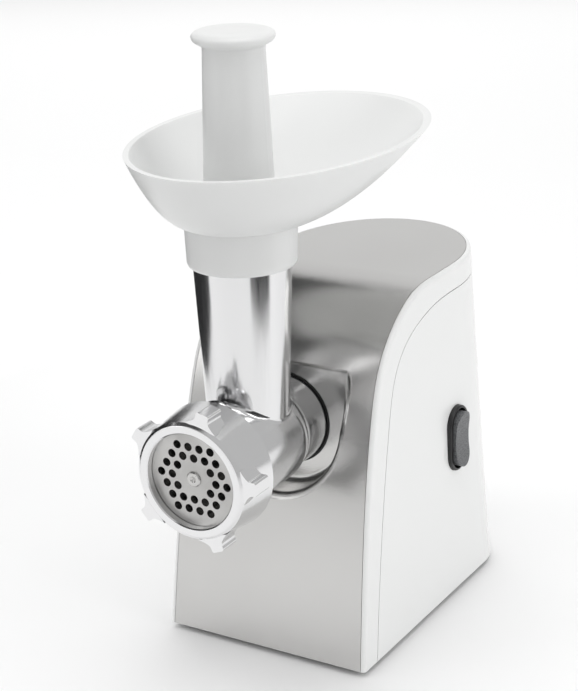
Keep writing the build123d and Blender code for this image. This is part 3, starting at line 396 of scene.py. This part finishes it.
def paint_shade_inside(material, axis_point, radius):
    """Inside a radius round an axis along Y, the casting is darkened to near black as painted shade."""
    tree = material.node_tree
    place = tree.nodes.new("ShaderNodeTexCoord")
    offset = tree.nodes.new("ShaderNodeVectorMath")
    across = tree.nodes.new("ShaderNodeVectorMath")
    length = tree.nodes.new("ShaderNodeVectorMath")
    inside = tree.nodes.new("ShaderNodeMapRange")
    offset.operation = "SUBTRACT"
    across.operation = "MULTIPLY"
    length.operation = "LENGTH"
    offset.inputs[1].default_value = axis_point
    across.inputs[1].default_value = (1, 0, 1)
    inside.inputs["From Min"].default_value = radius
    inside.inputs["From Max"].default_value = radius + bore_blend
    tree.links.new(place.outputs["Object"], offset.inputs[0])
    tree.links.new(offset.outputs["Vector"], across.inputs[0])
    tree.links.new(across.outputs["Vector"], length.inputs[0])
    tree.links.new(length.outputs["Value"], inside.inputs["Value"])
    vary_colour(material, inside.outputs["Result"], bore_painted_shade_tone, chute_tone, start=0.0, end=1.0)


# Painted shade darkens the head's casting inside the barrel.
paint_shade_inside(chute_metal, barrel_axis, bore_radius)
print("barrel's axis in mm:", [round(v * 1000, 1) for v in barrel_axis])

# %% [markdown]
# ## Cutting plate
# The perforated plate is ground steel with a satin face, a shade darker than the ring. Grinding leaves a
# finer and rougher mark than polishing, so its gloss varies more and its marks lie closer.

# %% Ground plate
ground = finish("ground_steel", (0.50, 0.495, 0.485), 0.34, metallic=1.0)
vary_gloss(ground, grain(ground, 220, detail=5), 0.30, 0.42)
raise_surface(ground, grain(ground, 1.0, (1600, 200, 1600), detail=3), 0.000012, 0.6)
vary_colour(ground, grain(ground, 40, detail=3), (0.44, 0.435, 0.425), (0.56, 0.555, 0.545))
wear(ground, "cutting_plate")

# %% [markdown]
# ## Knife
# The knife is carbon steel, kept under oil, which darkens it a little. Its tone is taken almost to black
# as painted shade for the plate's holes. It shows only through those holes, where a bright one would fill
# them with light, so a dark metal with an uneven gloss is enough.

# %% Oiled knife, darkened with painted shade
# Near black: oiled steel, darkened further as painted shade behind the plate.
knife_steel_and_shade = finish("oiled_steel_painted_shade", (0.16, 0.158, 0.152), 0.42, metallic=1.0)
vary_gloss(knife_steel_and_shade, grain(knife_steel_and_shade, 260, detail=5), 0.34, 0.50)
raise_surface(knife_steel_and_shade, grain(knife_steel_and_shade, 600, detail=3), 0.00002, 0.5)
wear(knife_steel_and_shade, "cutting_knife")

# %% [markdown]
# ## Screw, shafts and springs
# These are turned or drawn, with round machining marks. True rings would need coordinates for each
# shaft's own axis. Nearly all of the axes lie along Y, so noise that is finest along Y stands for them.

# %% Turned steel
turned = finish("turned_steel", (0.58, 0.575, 0.565), 0.24, metallic=1.0)
vary_gloss(turned, grain(turned, 1.0, (300, 2600, 300), detail=3), 0.18, 0.34)
raise_surface(turned, grain(turned, 1.0, (100, 2600, 100), detail=2), 0.00001, 0.6)
wear(turned, "feed_screw", "output_shaft", "gear_pins", "rotor_shaft", "motor_pinion", "motor_bearings",
     "brush_springs", "lock_spring")

# %% [markdown]
# ## Black plastic
# The socket that takes the head, the switch's bezel and the cord gland are black nylon. A plain black
# would look like a hole, so a fine moulded grain catches a little light.

# %% Black nylon
black = finish("black_nylon", (0.006, 0.006, 0.0065), 0.38)
vary_gloss(black, grain(black, 160), 0.30, 0.48)
raise_surface(black, grain(black, 1400, detail=2), 0.00003, 0.4)
wear(black, "socket_ring", "switch_bezel", "cord_gland", "lock_button", "switch_body", "cooling_fan",
     "brush_caps", "screw_washer")

# %% [markdown]
# ## Rubber
# The feet and the motor's cushion are rubber. It is duller than the nylon and a little greyer, with a
# coarser skin, so it gets high roughness and a deeper grain.

# %% Rubber
rubber = finish("rubber", (0.03, 0.03, 0.03), 0.72)
vary_gloss(rubber, grain(rubber, 120), 0.62, 0.82)
raise_surface(rubber, grain(rubber, 700), 0.00006, 0.5)
wear(rubber, "rubber_feet", "motor_cushion")

# %% [markdown]
# ## Switch rocker
# The rocker is dark grey, with a coarse spark-eroded grain that gives the finger a grip. Modelled bumps
# would be far too many, so one noise speckles its colour and another lifts its surface.

# %% Rocker
rocker_grey = finish("rocker_grey", (0.09, 0.092, 0.096), 0.42)
speckle = grain(rocker_grey, 1500, detail=3)
vary_gloss(rocker_grey, grain(rocker_grey, 500, detail=3), 0.34, 0.55)
vary_colour(rocker_grey, speckle, (0.06, 0.062, 0.066), (0.16, 0.165, 0.17))
raise_surface(rocker_grey, grain(rocker_grey, 1500, detail=2), 0.00008, 0.6)
wear(rocker_grey, "switch_rocker")

# %% [markdown]
# ## Gears
# The three plastic gears are pale nylon, which yellows slightly and lets a little light in. A faint
# cloud of colour keeps the large wheels from looking like paper.

# %% Gear nylon
nylon = finish("gear_nylon", (0.72, 0.69, 0.60), 0.42, Subsurface_Weight=0.1)
vary_gloss(nylon, grain(nylon, 90), 0.34, 0.52)
vary_colour(nylon, grain(nylon, 25, detail=3), (0.68, 0.65, 0.56), (0.76, 0.73, 0.64))
wear(nylon, "output_gear", "second_gear", "first_gear")

# %% [markdown]
# ## Gearbox and floor of the body
# The gear case and the base are plastic filled with short glass fibres, which lie along the flow and
# leave a grey streaky skin. Noise drawn finer along one axis gives the streaks.

# %% Glass-filled plastic
filled = finish("glass_filled_grey", (0.11, 0.112, 0.116), 0.50)
fibres = grain(filled, 1.0, (300, 900, 300))
vary_gloss(filled, grain(filled, 240, detail=5), 0.42, 0.62)
vary_colour(filled, fibres, (0.095, 0.097, 0.10), (0.135, 0.137, 0.14))
raise_surface(filled, grain(filled, 900, detail=3), 0.00004, 0.5)
wear(filled, "gearbox_housing", "gearbox_cover", "base_plate")

# %% [markdown]
# ## Copper windings
# The motor's coils are hundreds of turns of thin wire under varnish. Each could be a curve, but they
# lie inside the body and show only when it is taken apart. So noise drawn out along Y paints the wires
# and their height, and a clear coat is the varnish.

# %% Varnished copper
copper = finish("varnished_copper", (0.62, 0.26, 0.11), 0.28, metallic=0.9,
                Coat_Weight=0.5, Coat_Roughness=0.15)
wires = (1600, 60, 1600)
vary_colour(copper, grain(copper, 1.0, wires, detail=3), (0.42, 0.16, 0.06), (0.72, 0.32, 0.14))
raise_surface(copper, grain(copper, 1.0, wires, detail=2), 0.0001, 0.7)
wear(copper, "field_coils", "rotor_winding", "commutator")

# %% [markdown]
# ## Laminated iron
# The motor's cores are stacks of thin iron sheets, seen on edge as fine lines across the shaft. Sheets
# modelled one by one would make a heavy mesh, so noise that changes mostly along Y draws the lines.

# %% Laminated cores
laminated = finish("laminated_iron", (0.20, 0.205, 0.215), 0.45, metallic=0.8)
sheets = (8, 2200, 8)
vary_colour(laminated, grain(laminated, 1.0, sheets, detail=2), (0.13, 0.135, 0.145), (0.27, 0.275, 0.285))
raise_surface(laminated, grain(laminated, 1.0, sheets, detail=2), 0.00008, 0.8)
wear(laminated, "stator_core", "rotor_core")

# %% [markdown]
# ## Carbon brushes
# The brushes are pressed carbon: dark grey, nearly dull, with a trace of metal. One fine noise in the
# gloss is enough for pieces so small.

# %% Carbon
carbon = finish("carbon_block", (0.03, 0.03, 0.033), 0.60, metallic=0.2)
vary_gloss(carbon, grain(carbon, 700), 0.5, 0.7)
wear(carbon, "carbon_brushes")

# %% [markdown]
# ## Zinc plate
# Screws and brackets are steel with a thin coat of zinc, which looks grey and slightly cloudy. Noise in
# both the gloss and the colour gives the clouds.

# %% Zinc-plated screws and brackets
zinc = finish("zinc_plate", (0.56, 0.565, 0.56), 0.34, metallic=1.0)
vary_gloss(zinc, grain(zinc, 300), 0.26, 0.44)
vary_colour(zinc, grain(zinc, 80, detail=3), (0.50, 0.505, 0.50), (0.62, 0.625, 0.62))
wear(zinc, "base_screws", "gearbox_screws", "motor_screws", "motor_front_bracket", "motor_rear_bracket")

# %% [markdown]
# ## Bronze bushes
# The output shaft runs in bushes of pressed bronze powder, full of tiny pores that hold oil. The pores
# are too small to model, so a fine noise mottles the colour. The brush holders wear the same metal.

# %% Sintered bronze
bronze = finish("sintered_bronze", (0.52, 0.35, 0.17), 0.42, metallic=0.95)
vary_colour(bronze, grain(bronze, 900), (0.40, 0.26, 0.12), (0.60, 0.42, 0.21))
wear(bronze, "output_bushes", "brush_holders")

# %% [markdown]
# ## Terminal block and capacitor
# The terminal block is unglazed cream ceramic, and the capacitor is wrapped in shiny blue film. Both are
# plain blocks inside the body, so a colour and an uneven gloss or tone are all they need.

# %% Ceramic and film
cream = finish("cream_ceramic", (0.74, 0.72, 0.66), 0.40)
vary_gloss(cream, grain(cream, 200), 0.32, 0.5)
wear(cream, "terminal_block")

film = finish("blue_film", (0.05, 0.13, 0.38), 0.25, Coat_Weight=0.6, Coat_Roughness=0.1)
vary_colour(film, grain(film, 160, detail=3), (0.04, 0.11, 0.33), (0.06, 0.15, 0.42))
wear(film, "filter_capacitor")

# %% [markdown]
# ## Floor finish
# The sweep is matt paper. A plain white would look like a blank, so its gloss is a trace uneven.

# %% Paper sweep
paper = finish("paper_sweep", (0.90, 0.90, 0.90), 0.65)
vary_gloss(paper, grain(paper, 3, detail=2), 0.6, 0.75)
floor.data.materials.append(paper)
print(paper.name, "on", floor.name)

# %% [markdown]
# ## Last check
# A piece that was forgotten would keep its plain material, so the dressed pieces are counted against the
# whole list.

# %% Check the finishes
print("pieces without a finish:", sorted(set(nodes) - dressed))
